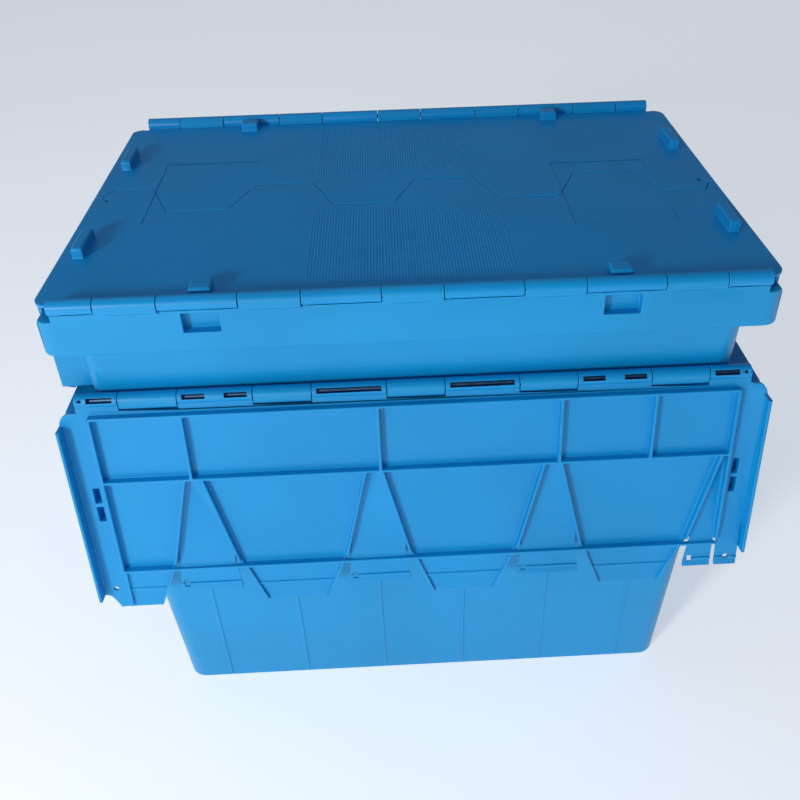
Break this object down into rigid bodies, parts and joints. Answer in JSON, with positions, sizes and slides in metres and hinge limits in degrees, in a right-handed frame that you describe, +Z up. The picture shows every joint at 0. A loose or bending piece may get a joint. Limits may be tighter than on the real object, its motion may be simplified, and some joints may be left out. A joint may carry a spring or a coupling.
{
  "type": "nested attached-lid crates",
  "caption": "Nested plastic crates with attached two-leaf lids: the upper one closed, the lower one open with its lid leaves hanging at the sides.",
  "frame": {"origin": "on the floor, under the middle of the lower crate's base", "axes": "+X along the long sides, +Y from the front to the rear, +Z up"},
  "size_m": [0.6, 0.4786, 0.5065],
  "materials": {
    "blue_tub": "injection-moulded polypropylene, fine satin grain",
    "blue_lid": "injection-moulded polypropylene, fine satin grain",
    "rod_steel": "zinc-plated steel rod"
  },
  "bodies": {
    "lower_crate": {"lower_tub": "blue_tub", "lower_front_hinge_rod": "rod_steel", "lower_rear_hinge_rod": "rod_steel"},
    "upper_crate": {"upper_tub": "blue_tub", "upper_front_hinge_rod": "rod_steel", "upper_rear_hinge_rod": "rod_steel"},
    "lower_front_lid_leaf": {"lower_front_leaf": "blue_lid"},
    "lower_rear_lid_leaf": {"lower_rear_leaf": "blue_lid"},
    "upper_front_lid_leaf": {"upper_front_leaf": "blue_lid"},
    "upper_rear_lid_leaf": {"upper_rear_leaf": "blue_lid"}
  },
  "joints": [
    {"name": "upper_crate_lift", "type": "slide", "parent": "lower_crate", "child": "upper_crate", "axis": [0, 0, 1], "range_m": [0, 0.45]},
    {"name": "lower_front_leaf_hinge", "type": "hinge", "parent": "lower_crate", "child": "lower_front_lid_leaf", "pos_m": [0, -0.198, 0.408], "axis": [-1, 0, 0], "range_deg": [0, 148]},
    {"name": "lower_rear_leaf_hinge", "type": "hinge", "parent": "lower_crate", "child": "lower_rear_lid_leaf", "pos_m": [0, 0.198, 0.408], "axis": [1, 0, 0], "range_deg": [0, 148]},
    {"name": "upper_front_leaf_hinge", "type": "hinge", "parent": "upper_crate", "child": "upper_front_lid_leaf", "pos_m": [0, -0.198, 0.4995], "axis": [1, 0, 0], "range_deg": [0, 248]},
    {"name": "upper_rear_leaf_hinge", "type": "hinge", "parent": "upper_crate", "child": "upper_rear_lid_leaf", "pos_m": [0, 0.198, 0.4995], "axis": [-1, 0, 0], "range_deg": [0, 248]}
  ]
}
